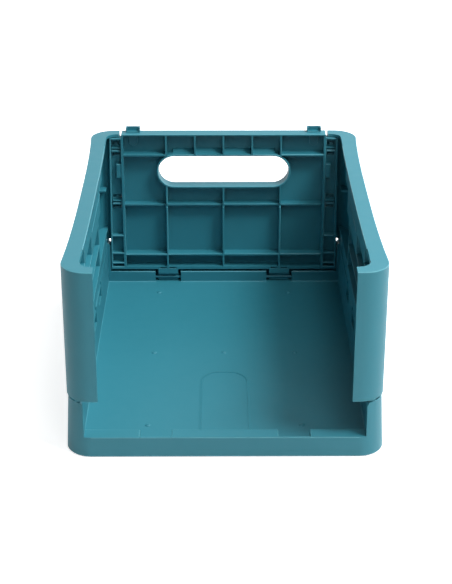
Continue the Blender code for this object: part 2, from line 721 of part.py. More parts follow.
def stop_blocks():
    """Return the stop blocks in the channels, level with the hand hole."""
    reach = PANEL_HALF + PANEL_RIB / 2 + BLOCK_WIDTH
    depth = (PANEL_FRONT + BLOCK_SETBACK, CHANNEL_REAR - CHANNEL_BACK / 2)
    height = (HOLE_Z - BLOCK_HEIGHT / 2, HOLE_Z + BLOCK_HEIGHT / 2)
    return [box(sorted((side * PANEL_HALF, side * reach)), depth, height) for side in SIDES.values()]


def foot_plates():
    """Return the plates that fill the panel's lower corners, under the walls' wrapped ends."""
    start = PANEL_HALF - PANEL_RIB
    front = CHANNEL_REAR - CHANNEL_BACK / 2
    bend = BASE_HALF - CORNER_RADIUS
    reach = flange_half(BASE_HEIGHT)
    rear = DEPTH_HALF - CORNER_RADIUS + math.sqrt(CORNER_RADIUS ** 2 - (reach - bend) ** 2)
    outline = [(start, front), (reach, front), (reach, rear), (bend, DEPTH_HALF), (start, DEPTH_HALF)]
    return [mirrored(prism(outline, PANEL_BOTTOM, BASE_HEIGHT), side) for side in SIDES.values()]


def panel_outline(height):
    """Return the panel's outline at a height: the plate and its side channels."""
    outer = flange_half(height)
    half = [
        (outer, PANEL_FRONT), (outer, CHANNEL_REAR - CHANNEL_CHAMFER),
        (outer - CHANNEL_CHAMFER, CHANNEL_REAR), (PANEL_HALF, CHANNEL_REAR),
        (PANEL_HALF, DEPTH_HALF),
    ]
    return [(x, y, height) for x, y in half + [(-x, y) for x, y in reversed(half)]]


def panel_lugs():
    """Return the panel's hinge lugs, their barrels, their bores and the windows to the pins."""
    lugs = []
    barrels = []
    bores = []
    windows = []
    half = END_POCKET / 2 - LUG_SIDE_GAP
    axis = (END_AXIS_Y, END_AXIS_Z)
    along = (PANEL_FRONT, 2 * END_AXIS_Y - PANEL_FRONT)
    for side in SIDES.values():
        middle = side * HINGE_SPREAD
        span = (middle - half, middle + half)
        lugs.append(box(span, along, (END_AXIS_Z, PANEL_BOTTOM + PANEL_RIM / 2)))
        barrels.append(rod(END_BARREL, span[0], span[1], axis, "X"))
        bores.append(rod(BORE_RADIUS, span[0] - OVERRUN, span[1] + OVERRUN, axis, "X"))
        open_span = (span[0] - OVERRUN, span[1] + OVERRUN)
        open_height = (END_AXIS_Z - END_BARREL - OVERRUN, END_AXIS_Z + WINDOW_RISE)
        windows.append(box(open_span, (END_AXIS_Y - END_BARREL - OVERRUN, END_AXIS_Y), open_height))
    return lugs, barrels, bores, windows


def tab_places():
    """Yield each stacking tab's side name and its middle across the panel."""
    for side_name, side in SIDES.items():
        yield side_name, side * (PANEL_HALF - TAB_INSET)


def tongue_depth():
    """Return the front and rear limits of a tab's tongue."""
    middle = DEPTH_HALF - TAB_BACK - TAB_DEPTH / 2
    return middle - TONGUE_THICK / 2, middle + TONGUE_THICK / 2


def build_panel(finish):
    """Return the rear panel: plate, ribs, hand hole, side channels and hinge lugs."""
    body = stacked([panel_outline(PANEL_BOTTOM), panel_outline(RIM_HEIGHT)])
    panel = new_object("rear_panel", body, finish)
    deep = (PANEL_FRONT - OVERRUN, DEPTH_HALF + OVERRUN)
    reach = FLANGE_FOOT + OVERRUN
    tops = []
    for side in SIDES.values():
        across = sorted((side * PANEL_HALF, side * reach))
        tops.append(box(across, deep, (CHANNEL_TOP, RIM_HEIGHT + OVERRUN)))
    cut(panel, tops)
    pockets = new_object("pockets", merged(panel_pockets()))
    collar = stadium(HOLE_WIDTH + 2 * HOLE_COLLAR, HOLE_HEIGHT + 2 * HOLE_COLLAR)
    cut(pockets, [prism(collar, deep[0] - OVERRUN, deep[1], "Y")])
    shape = bmesh.new()
    shape.from_mesh(pockets.data)
    bpy.data.objects.remove(pockets, do_unlink=True)
    cut(panel, [shape])
    cut(panel, channel_pockets())
    join(panel, stop_blocks())
    join(panel, foot_plates())
    cut(panel, clip_slots())
    cut(panel, [prism(stadium(HOLE_WIDTH, HOLE_HEIGHT), deep[0], deep[1], "Y")])
    edge = PANEL_HALF - PANEL_RIB
    mid_rib = HOLE_Z - MID_RIB_DROP
    setback = (PANEL_FRONT - OVERRUN, PANEL_FRONT + MID_RIB_SETBACK)
    cut(panel, [box((-edge, edge), setback, (mid_rib - PANEL_RIB, mid_rib + PANEL_RIB))])
    lugs, barrels, bores, windows = panel_lugs()
    join(panel, lugs)
    join(panel, barrels)
    cut(panel, bores)
    cut(panel, windows)
    half = TONGUE_WIDTH / 2 + SEAT
    front, rear = tongue_depth()
    slots = []
    for _, middle in tab_places():
        height = (RIM_HEIGHT - PANEL_RIM - OVERRUN, RIM_HEIGHT + OVERRUN)
        slots.append(box((middle - half, middle + half), (front - SEAT, rear + SEAT), height))
    cut(panel, slots)
    finish_mesh(panel)
    return panel


def build_pins(finish):
    """Return the hinge pins that the base holds."""
    pins = []
    half = END_POCKET / 2 + PIN_GRIP
    for name, _, x, y in end_hinges():
        shape = rod(PIN_RADIUS, x - half, x + half, (y, END_AXIS_Z), "X")
        pins.append(new_object(name, shape, finish))
    half = WALL_POCKET / 2 + PIN_GRIP
    for name, side, y in wall_hinges():
        shape = rod(PIN_RADIUS, y - half, y + half, (side * WALL_AXIS_X, WALL_AXIS_Z), "Y")
        pins.append(new_object(name, shape, finish))
    for pin in pins:
        finish_mesh(pin)
    return pins


def clip_outline(level):
    """Return a snap clip's U shape, in Y and Z: a back and two prongs, the lower one hooked."""
    back = CHANNEL_REAR - CHANNEL_BACK - SEAT
    front = back - CLIP_DEPTH
    inner = back - CLIP_WALL
    low = level - CLIP_HEIGHT / 2
    high = level + CLIP_HEIGHT / 2
    return [
        (back, low), (back, high), (front, high), (front, high - CLIP_WALL),
        (inner, high - CLIP_WALL), (inner, low + CLIP_WALL), (front + CLIP_WALL, low + CLIP_WALL),
        (front + CLIP_WALL, low + 2 * CLIP_WALL), (front, low + CLIP_WALL), (front, low),
    ]


def build_clips(finish):
    """Return the snap clips in the panel's side channels."""
    clips = []
    inner = PANEL_HALF + PANEL_RIB / 2
    for level_name, rise in CLIP_LEVELS.items():
        middle = (inner + flange_half(HOLE_Z + rise) - PANEL_RIB) / 2
        for side_name, side in SIDES.items():
            across = sorted((side * middle - CLIP_WIDTH / 2, side * middle + CLIP_WIDTH / 2))
            shape = prism(clip_outline(HOLE_Z + rise), across[0], across[1], "X")
            clips.append(new_object(f"{level_name}_clip_{side_name}", shape, finish))
    for clip in clips:
        finish_mesh(clip)
    return clips


def build_tabs(finish):
    """Return the stacking tabs: a block on the rim and a rounded tongue through it."""
    tabs = []
    front, rear = tongue_depth()
    block_rear = DEPTH_HALF - TAB_BACK
    tip = RIM_HEIGHT - PANEL_RIM - TONGUE_REACH
    radius = TONGUE_WIDTH / 2
    base = RIM_HEIGHT + SEAT
    for side_name, middle in tab_places():
        across = (middle - TAB_WIDTH / 2, middle + TAB_WIDTH / 2)
        block = box(across, (block_rear - TAB_DEPTH, block_rear), (base, RIM_HEIGHT + TAB_HEIGHT))
        tab = new_object(f"stacking_tab_{side_name}", block, finish)
        outline = arc((middle, tip + radius), radius, 180, 360)
        outline += [(middle + radius, base + TAB_HEIGHT / 2), (middle - radius, base + TAB_HEIGHT / 2)]
        join(tab, [prism(outline, front, rear, "Y")])
        finish_mesh(tab)
        tabs.append(tab)
    return tabs


def main():
    """Build the crate."""
    clear_scene()
    body_finish = plastic("crate_plastic", TEAL, 0.5)
    fitting_finish = plastic("fitting_plastic", DEEP_TEAL, 0.45)
    build_base(body_finish)
    build_pins(fitting_finish)
    for side_name, side in SIDES.items():
        wall = build_wall(side_name, body_finish)
        hang_on(wall, pivot(f"{side_name}_wall_axis", (side * WALL_AXIS_X, 0, WALL_AXIS_Z)))
    panel_axis = pivot("rear_panel_axis", (0, END_AXIS_Y, END_AXIS_Z))
    for item in [build_panel(body_finish)] + build_clips(fitting_finish) + build_tabs(fitting_finish):
        hang_on(item, panel_axis)


main()
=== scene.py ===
"""Looks of the collapsible storage crate: rounded mouldings, fine fittings, finishes and studio."""

import json
import logging
import math
from dataclasses import dataclass
from enum import Enum
from typing import Iterable

import bmesh
import bpy
from mathutils import Euler, Matrix, Vector


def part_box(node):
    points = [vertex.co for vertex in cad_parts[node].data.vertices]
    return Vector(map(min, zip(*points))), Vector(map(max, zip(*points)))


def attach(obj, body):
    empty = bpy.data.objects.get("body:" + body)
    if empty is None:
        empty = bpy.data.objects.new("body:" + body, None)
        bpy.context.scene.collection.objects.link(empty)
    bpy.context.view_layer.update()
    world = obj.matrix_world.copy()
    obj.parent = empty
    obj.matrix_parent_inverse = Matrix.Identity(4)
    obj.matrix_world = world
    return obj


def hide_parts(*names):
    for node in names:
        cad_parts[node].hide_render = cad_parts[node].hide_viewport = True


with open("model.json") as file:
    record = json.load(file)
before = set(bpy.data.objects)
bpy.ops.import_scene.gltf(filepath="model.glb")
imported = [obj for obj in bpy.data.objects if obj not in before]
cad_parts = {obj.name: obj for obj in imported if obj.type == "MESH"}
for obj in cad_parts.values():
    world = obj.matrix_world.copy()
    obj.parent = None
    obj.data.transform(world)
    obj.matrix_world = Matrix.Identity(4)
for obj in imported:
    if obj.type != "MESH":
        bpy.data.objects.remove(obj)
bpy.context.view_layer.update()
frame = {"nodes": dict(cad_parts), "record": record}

MM = 0.001
MERGE_DISTANCE = 0.2 * MM  # joins the loose triangles of a node and the slivers its cuts leave
SAME_PLACE_DIGITS = 6  # points that agree to this many digits of a metre are the same
FLAT_ANGLE = 0.002  # triangles that lie this flat to each other become one face
SHARP_ANGLE = math.radians(30)  # edges whose faces meet at more than this are rounded
SMOOTH_ANGLE = math.radians(38)  # faces that meet at less than this are shaded as one surface
ROOM_FOR_ROUNDING = 3.0  # least length of an edge's neighbours, in radii, so that none limits the others
ROUND_PROFILE = 0.5  # bevel profile of a circular arc
POLISH_AND_HIGHLIGHT = "edge_polish_and_highlight"  # face attribute that says how far a rounded edge is polished and painted paler, a painted highlight
FULL_POLISH_AND_HIGHLIGHT = 1.0  # on edges that stick out
HOLLOW_POLISH_AND_HIGHLIGHT = 0.3  # in fillets, which are hardly rubbed and get only a faint painted highlight

Point = tuple[float, float, float]
Colour = tuple[float, float, float]
Block = tuple[Point, Point]  # lowest and highest corner

CRATE_MIDDLE: Point = (0.0, 0.0, 80.0 * MM)  # what the high lights face
CRATE_SIDES: Point = (0.0, 0.0, 90.0 * MM)  # what the low lights face

log = logging.getLogger("crate")


class Body(Enum):
    """The bodies of the frame that pieces ride on."""

    BASE = "base"
    LEFT = "left_side"
    RIGHT = "right_side"
    REAR = "rear_end"


class Slot(Enum):
    """The material slots of the record."""

    CRATE = "crate_plastic"
    FITTING = "fitting_plastic"


def new_group(name: str, inputs: dict[str, float | str], outputs: dict[str, str]) -> bpy.types.NodeTree:
    """Start a shader node group.

    Args:
        name: Name of the group.
        inputs: Input names, each with a default number, or "vector" or "color".
        outputs: Output names with their kind, "float" or "color".

    Returns:
        The group's node tree, with its input and output nodes named "in" and "out".
    """
    kinds = {"float": "NodeSocketFloat", "vector": "NodeSocketVector", "color": "NodeSocketColor"}
    tree = bpy.data.node_groups.new(name, "ShaderNodeTree")
    for socket_name, value in inputs.items():
        kind = value if isinstance(value, str) else "float"
        socket = tree.interface.new_socket(socket_name, in_out="INPUT", socket_type=kinds[kind])
        if not isinstance(value, str):
            socket.default_value = value
    for socket_name, kind in outputs.items():
        tree.interface.new_socket(socket_name, in_out="OUTPUT", socket_type=kinds[kind])
    tree.nodes.new("NodeGroupInput").name = "in"
    tree.nodes.new("NodeGroupOutput").name = "out"
    return tree


def add_node(tree: bpy.types.NodeTree, kind: str, **settings: object) -> bpy.types.Node:
    """Add a node and set its properties.

    Args:
        tree: Node tree that gets the node.
        kind: Blender's node type.
        settings: Properties of the node.

    Returns:
        The new node.
    """
    node = tree.nodes.new(kind)
    for key, value in settings.items():
        setattr(node, key, value)
    return node


def math_node(tree: bpy.types.NodeTree, operation: str, *values: object) -> bpy.types.NodeSocket:
    """Add a Math node fed by sockets or numbers.

    Args:
        tree: Node tree that gets the node.
        operation: Operation of the Math node.
        values: A socket or a number for each input.

    Returns:
        The node's output socket.
    """
    node = add_node(tree, "ShaderNodeMath", operation=operation)
    for socket, value in zip(node.inputs, values):
        if isinstance(value, bpy.types.NodeSocket):
            tree.links.new(value, socket)
        else:
            socket.default_value = value
    return node.outputs[0]


def noise_node(tree: bpy.types.NodeTree, vector: bpy.types.NodeSocket,
               scale: object, detail: float) -> bpy.types.NodeSocket:
    """Add a Noise texture.

    Args:
        tree: Node tree that gets the node.
        vector: Socket with the coordinates.
        scale: Socket or number for the scale.
        detail: Octaves of the noise.

    Returns:
        The noise value socket.
    """
    node = add_node(tree, "ShaderNodeTexNoise")
    node.inputs["Detail"].default_value = detail
    tree.links.new(vector, node.inputs["Vector"])
    if isinstance(scale, bpy.types.NodeSocket):
        tree.links.new(scale, node.inputs["Scale"])
    else:
        node.inputs["Scale"].default_value = scale
    return node.outputs[0]


def mould_grain_group() -> bpy.types.NodeTree:
    """Build the fine spark-eroded grain of a steel mould, with soft flow marks.

    Returns:
        A group with outputs Height (bump), Mottle (0 to 1) and Sheen (0 to 1).
    """
    tree = new_group("mould_grain",
                     {"Vector": "vector", "Grain Scale": 2600.0, "Flow Scale": 14.0},
                     {"Height": "float", "Mottle": "float", "Sheen": "float"})
    source, out = tree.nodes["in"].outputs, tree.nodes["out"].inputs
    fine_share, coarse_share = 0.7, 0.3
    coarse_step, sheen_step = 0.22, 6.0
    fine = noise_node(tree, source["Vector"], source["Grain Scale"], detail=3.0)
    coarse_scale = math_node(tree, "MULTIPLY", source["Grain Scale"], coarse_step)
    coarse = noise_node(tree, source["Vector"], coarse_scale, detail=2.0)
    height = math_node(tree, "ADD", math_node(tree, "MULTIPLY", fine, fine_share),
                       math_node(tree, "MULTIPLY", coarse, coarse_share))
    flow = noise_node(tree, source["Vector"], source["Flow Scale"], detail=4.0)
    sheen_scale = math_node(tree, "MULTIPLY", source["Flow Scale"], sheen_step)
    sheen = noise_node(tree, source["Vector"], sheen_scale, detail=3.0)
    tree.links.new(height, out["Height"])
    tree.links.new(flow, out["Mottle"])
    tree.links.new(sheen, out["Sheen"])
    return tree


def scuff_and_highlight_group() -> bpy.types.NodeTree:
    """Build faint scuffs, and the mask of rounded edges for their polish and their painted highlight.

    Returns:
        A group with outputs Scuff and Rub And Highlight, both 0 to 1.
    """
    tree = new_group("scuffs_and_edge_highlight", {"Vector": "vector", "Edge": 0.0, "Scuff Scale": 55.0},
                     {"Scuff": "float", "Rub And Highlight": "float"})
    source, out = tree.nodes["in"].outputs, tree.nodes["out"].inputs
    streak_stretch = (1.0, 0.12, 1.0)
    scuff_floor, scuff_gain, scuff_knee = 0.62, 7.0, 0.2
    patch_scale, patch_gain, least_rub_and_highlight = 90.0, 0.7, 0.4
    stretch = add_node(tree, "ShaderNodeVectorMath", operation="MULTIPLY")
    stretch.inputs[1].default_value = streak_stretch
    tree.links.new(source["Vector"], stretch.inputs[0])
    streak = noise_node(tree, stretch.outputs[0], source["Scuff Scale"], detail=6.0)
    over_floor = math_node(tree, "SUBTRACT", streak, scuff_floor)
    raised = math_node(tree, "MAXIMUM", math_node(tree, "MULTIPLY", over_floor, scuff_gain), 0.0)
    scuff = math_node(tree, "SMOOTH_MIN", raised, 1.0, scuff_knee)
    # mask of rounded edges, in patches: it paints their paler highlight and lowers their roughness
    patch = noise_node(tree, source["Vector"], patch_scale, detail=3.0)
    patchy = math_node(tree, "MULTIPLY_ADD", patch, patch_gain, least_rub_and_highlight)
    rub_and_highlight = math_node(tree, "MULTIPLY", source["Edge"], patchy)
    tree.links.new(scuff, out["Scuff"])
    tree.links.new(rub_and_highlight, out["Rub And Highlight"])
    return tree


@dataclass(frozen=True)
class MouldedPlastic:
    """A moulded plastic: colours, gloss and grain.

    Attributes:
        name: Name of the material.
        colour: Main colour, linear.
        deep: Slightly deeper colour that the flow marks drift to.
        rubbed_and_highlit: Paler colour of rounded edges: a painted highlight.
        roughness: Mean roughness.
        roughness_drift: How far the roughness drifts with the flow marks.
        scuff_roughness: Roughness that scuffs add.
        rub_polish: Roughness that rubbing takes away.
        index: Index of refraction.
        gloss: Strength of its reflections, 0.5 being that of its index.
        grain: Bump strength of the mould's grain.
        grain_depth: Depth of the grain.
        grain_scale: Scale of the grain in object coordinates.
    """

    name: str
    colour: Colour
    deep: Colour
    rubbed_and_highlit: Colour
    roughness: float
    roughness_drift: float = 0.10
    scuff_roughness: float = 0.06
    rub_polish: float = 0.12
    index: float = 1.49
    gloss: float = 0.42
    grain: float = 0.10
    grain_depth: float = 0.05 * MM
    grain_scale: float = 2600.0

    def build(self, grain_group: bpy.types.NodeTree, marks_group: bpy.types.NodeTree) -> bpy.types.Material:
        """Build the material.

        Args:
            grain_group: Node group of the mould's grain.
            marks_group: Node group of the scuffs and of the rounded-edge mask for polish and painted
                highlight.

        Returns:
            The finished material.
        """
        material = bpy.data.materials.new(self.name)
        material.use_nodes = True
        tree = material.node_tree
        shader = tree.nodes["Principled BSDF"]
        shader.inputs["IOR"].default_value = self.index
        shader.inputs["Specular IOR Level"].default_value = self.gloss
        place = add_node(tree, "ShaderNodeTexCoord").outputs["Object"]
        edge = add_node(tree, "ShaderNodeAttribute", attribute_name=POLISH_AND_HIGHLIGHT).outputs["Fac"]
        grain = add_node(tree, "ShaderNodeGroup", node_tree=grain_group)
        grain.inputs["Grain Scale"].default_value = self.grain_scale
        marks = add_node(tree, "ShaderNodeGroup", node_tree=marks_group)
        for group in (grain, marks):
            tree.links.new(place, group.inputs["Vector"])
        tree.links.new(edge, marks.inputs["Edge"])

        base = add_node(tree, "ShaderNodeMix", data_type="RGBA")
        base.inputs["A"].default_value = (*self.colour, 1.0)
        base.inputs["B"].default_value = (*self.deep, 1.0)
        tree.links.new(grain.outputs["Mottle"], base.inputs["Factor"])
        # rounded edges are mixed towards a paler colour: a painted highlight
        with_edge_highlight = add_node(tree, "ShaderNodeMix", data_type="RGBA")
        with_edge_highlight.inputs["B"].default_value = (*self.rubbed_and_highlit, 1.0)
        tree.links.new(base.outputs["Result"], with_edge_highlight.inputs["A"])
        tree.links.new(marks.outputs["Rub And Highlight"], with_edge_highlight.inputs["Factor"])
        tree.links.new(with_edge_highlight.outputs["Result"], shader.inputs["Base Color"])

        drift = math_node(tree, "MULTIPLY_ADD", grain.outputs["Sheen"], self.roughness_drift,
                          self.roughness - self.roughness_drift / 2)
        scuffed = math_node(tree, "MULTIPLY_ADD", marks.outputs["Scuff"], self.scuff_roughness, drift)
        rubbed_and_highlit = math_node(tree, "MULTIPLY_ADD", marks.outputs["Rub And Highlight"], -self.rub_polish, scuffed)
        tree.links.new(rubbed_and_highlit, shader.inputs["Roughness"])
        bump = add_node(tree, "ShaderNodeBump")
        bump.inputs["Strength"].default_value = self.grain
        bump.inputs["Distance"].default_value = self.grain_depth
        tree.links.new(grain.outputs["Height"], bump.inputs["Height"])
        tree.links.new(bump.outputs["Normal"], shader.inputs["Normal"])
        return material


@dataclass(frozen=True)
class Finishes:
    """The finishes of the crate's pieces.

    Attributes:
        crate: Finish of the large mouldings.
        fitting: Finish of pins, clips and tabs.
    """

    crate: bpy.types.Material
    fitting: bpy.types.Material

    @classmethod
    def build(cls) -> "Finishes":
        """Build the finishes with their shared node groups.

        Returns:
            The finishes.
        """
        grain, marks = mould_grain_group(), scuff_and_highlight_group()
        # the paler colour given for rounded edges is a painted highlight
        crate = MouldedPlastic(
            "crate_moulding", colour=(0.028, 0.209, 0.271), deep=(0.026, 0.196, 0.254),
            rubbed_and_highlit=(0.085, 0.330, 0.400), roughness=0.50)
        fitting = MouldedPlastic(
            "fitting_moulding", colour=(0.022, 0.190, 0.248), deep=(0.019, 0.172, 0.226),
            rubbed_and_highlit=(0.070, 0.290, 0.360), roughness=0.44, grain=0.06)
        return cls(crate=crate.build(grain, marks), fitting=fitting.build(grain, marks))

    def of(self, slot: Slot) -> bpy.types.Material:
        """Return the finish of a material slot."""
        return self.crate if slot is Slot.CRATE else self.fitting


def node_shape(node: str) -> bmesh.types.BMesh:
    """Copy a node of the frame as one clean closed shape.

    Args:
        node: Name of the node.

    Returns:
        A bmesh whose loose triangles are merged into whole faces.
    """
    shape = bmesh.new()
    shape.from_mesh(frame["nodes"][node].data)
    clean(shape)
    return shape


def clean(shape: bmesh.types.BMesh) -> None:
    """Merge a shape's doubled points and flat neighbours, and delete edges without faces.

    Args:
        shape: Shape to change.
    """
    bmesh.ops.remove_doubles(shape, verts=shape.verts, dist=MERGE_DISTANCE)
    bmesh.ops.dissolve_limit(shape, angle_limit=FLAT_ANGLE, verts=shape.verts, edges=shape.edges)
    bmesh.ops.delete(shape, geom=[edge for edge in shape.edges if not edge.link_faces], context="EDGES")


def polish_and_highlight_layer(shape: bmesh.types.BMesh) -> bmesh.types.BMLayerItem:
    """Return the layer that marks rounded edges, made where it is missing."""
    return shape.faces.layers.float.get(POLISH_AND_HIGHLIGHT) or shape.faces.layers.float.new(POLISH_AND_HIGHLIGHT)


def round_edges(shape: bmesh.types.BMesh, edges: Iterable[bmesh.types.BMEdge],
                radius: float, segments: int = 2, polish_and_highlight: float = FULL_POLISH_AND_HIGHLIGHT) -> None:
    """Round the edges that have room for it and mark the new faces for polish and a painted highlight.

    Args:
        shape: Shape to change.
        edges: Edges to round.
        radius: Width of the rounding.
        segments: Facets across the rounding.
        polish_and_highlight: How far the rounding is polished and painted paler as a highlight, over 0 to
            1.
    """
    layer = polish_and_highlight_layer(shape)
    room = ROOM_FOR_ROUNDING * radius
    roomy = [edge for edge in edges
             if all(other.calc_length() > room for vert in edge.verts for other in vert.link_edges)]
    made = bmesh.ops.bevel(shape, geom=roomy, offset=radius, offset_type="OFFSET", segments=segments,
                           profile=ROUND_PROFILE, affect="EDGES", clamp_overlap=False, material=-1)
    for face in made["faces"]:
        face[layer] = polish_and_highlight


def add_block(shape: bmesh.types.BMesh, low: Iterable[float],
              high: Iterable[float]) -> list[bmesh.types.BMVert]:
    """Add a block between two corners.

    Args:
        shape: Shape that gets the block.
        low: Its lowest corner.
        high: Its highest corner.

    Returns:
        The block's vertices.
    """
    low, high = Vector(low), Vector(high)
    block = bmesh.ops.create_cube(shape, size=1.0)["verts"]
    bmesh.ops.scale(shape, vec=high - low, verts=block)
    bmesh.ops.translate(shape, vec=(low + high) / 2, verts=block)
    return block


def block_knife(blocks: Iterable[Block]) -> bmesh.types.BMesh:
    """Make a shape of blocks.

    Args:
        blocks: The blocks, which don't overlap.

    Returns:
        The shape.
    """
    knife = bmesh.new()
    for low, high in blocks:
        add_block(knife, low, high)
    return knife


def carve(shape: bmesh.types.BMesh, knife: bmesh.types.BMesh) -> bmesh.types.BMesh:
    """Cut one shape out of another.

    Args:
        shape: Closed shape, which is freed.
        knife: Closed shape that is cut away, and freed. Its parts don't overlap.

    Returns:
        What is left of the first shape.
    """
    items = []
    for name, source in (("carved", shape), ("knife", knife)):
        mesh = bpy.data.meshes.new(name)
        source.to_mesh(mesh)
        source.free()
        items.append(bpy.data.objects.new(name, mesh))
        bpy.context.scene.collection.objects.link(items[-1])
    items[0].modifiers.new("cut", "BOOLEAN").object = items[1]
    left = bmesh.new()
    left.from_object(items[0], bpy.context.evaluated_depsgraph_get())
    for item in items:
        mesh = item.data
        bpy.data.objects.remove(item)
        bpy.data.meshes.remove(mesh)
    clean(left)
    return left


def sharp_edges(shape: bmesh.types.BMesh, hollow: bool = False) -> list[bmesh.types.BMEdge]:
    """Find the edges whose faces meet at more than the sharp angle.

    Args:
        shape: Shape to search.
        hollow: Whether to find the hollow edges, not the ones that stick out.

    Returns:
        The edges.
    """
    return [edge for edge in shape.edges if len(edge.link_faces) == 2 and edge.is_convex is not hollow
            and edge.calc_face_angle(0) > SHARP_ANGLE]


@dataclass(frozen=True)
class Rounding:
    """A rounding of the edges that lie in the planes of a slab.

    Attributes:
        axis: Axis that the planes stand across, 0 for X to 2 for Z.
        low: Lower end of the slab.
        high: Upper end of the slab.
        radius: Width of the rounding.
        hollow: Whether it fills the hollow edges there, not the ones that stick out.
        segments: Facets across the rounding.
    """

    axis: int
    low: float
    high: float
    radius: float
    hollow: bool = False
    segments: int = 3

    def apply(self, shape: bmesh.types.BMesh) -> None:
        """Round the edges of a shape.

        Args:
            shape: Shape to change.
        """
        polish_and_highlight = HOLLOW_POLISH_AND_HIGHLIGHT if self.hollow else FULL_POLISH_AND_HIGHLIGHT
        edges = []
        for edge in sharp_edges(shape, self.hollow):
            first, last = sorted(vert.co[self.axis] for vert in edge.verts)
            in_slab = self.low - MERGE_DISTANCE < first and last < self.high + MERGE_DISTANCE
            if in_slab and last - first < MERGE_DISTANCE:
                edges.append(edge)
        round_edges(shape, edges, self.radius, self.segments, polish_and_highlight)


def corner_normal(corner: bmesh.types.BMLoop, layer: bmesh.types.BMLayerItem) -> Vector:
    """Find the shading normal of a face's corner: flat faces stay flat and roundings run into them.

    Args:
        corner: Corner of the face.
        layer: Layer that marks rounded edges.

    Returns:
        The normal.
    """
    face, lead = corner.face, corner.face.normal
    rounded = face[layer] > 0
    group = [other for other in corner.vert.link_faces if (other[layer] > 0) is rounded]
    if rounded:
        sides = [other for edge in (corner.edge, corner.link_loop_prev.edge) for other in edge.link_faces]
        flats = [other for other in sides
                 if not other[layer] and other.normal.angle(lead, math.pi) < SMOOTH_ANGLE]
        if flats:
            group, lead = flats, flats[0].normal
    total = sum((other.normal * other.calc_area() for other in group
                 if other.normal.angle(lead, math.pi) < SMOOTH_ANGLE), Vector())
    return total.normalized() if total.length else lead.copy()


def make_piece(name: str, shape: bmesh.types.BMesh, finishes: Finishes,
               slot: Slot, body: Body) -> bpy.types.Object:
    """Turn a shape into a dressed piece that rides on a body.

    Args:
        name: Name of the piece.
        shape: Its shape, which is freed.
        finishes: Finishes of the crate.
        slot: Material slot that the piece takes its finish from.
        body: Body that it moves with.

    Returns:
        The piece's object.
    """
    layer = polish_and_highlight_layer(shape)
    shape.normal_update()
    normals = [corner_normal(corner, layer) for face in shape.faces for corner in face.loops]
    mesh = bpy.data.meshes.new(name)
    shape.to_mesh(mesh)
    shape.free()
    mesh.materials.append(finishes.of(slot))
    mesh.shade_smooth()
    mesh.normals_split_custom_set(normals)
    piece = bpy.data.objects.new(name, mesh)
    bpy.context.scene.collection.objects.link(piece)
    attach(piece, body.value)
    log.info("%s rides on %s, %d faces", name, body.value, len(mesh.polygons))
    return piece


@dataclass
class Moulding:
    """A moulded piece of the frame, shown with rounded edges.

    Attributes:
        node: Node of the frame that it stands for.
        body: Body that it moves with.
        slot: Material slot of its finish.
        roundings: Larger roundings of some of its edges.
        knife: Shape cut out of it for details that the frame leaves plain, or None.
        fine_radius: Rounding of its other edges.
    """

    node: str
    body: Body
    slot: Slot = Slot.CRATE
    roundings: tuple[Rounding, ...] = ()
    knife: bmesh.types.BMesh | None = None
    fine_radius: float = 0.3 * MM

    def shape(self) -> bmesh.types.BMesh:
        """Copy the node's shape, cut it and round its edges.

        Returns:
            The shape.
        """
        shape = node_shape(self.node)
        if self.knife:
            shape = carve(shape, self.knife)
        for rounding in self.roundings:
            rounding.apply(shape)
        round_edges(shape, sharp_edges(shape), self.fine_radius)
        return shape

    def build(self, finishes: Finishes) -> bpy.types.Object:
        """Build the piece that stands for the node.

        Args:
            finishes: Finishes of the crate.

        Returns:
            The piece's object.
        """
        piece = make_piece(f"{self.node}_moulding", self.shape(), finishes, self.slot, self.body)
        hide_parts(self.node)
        return piece


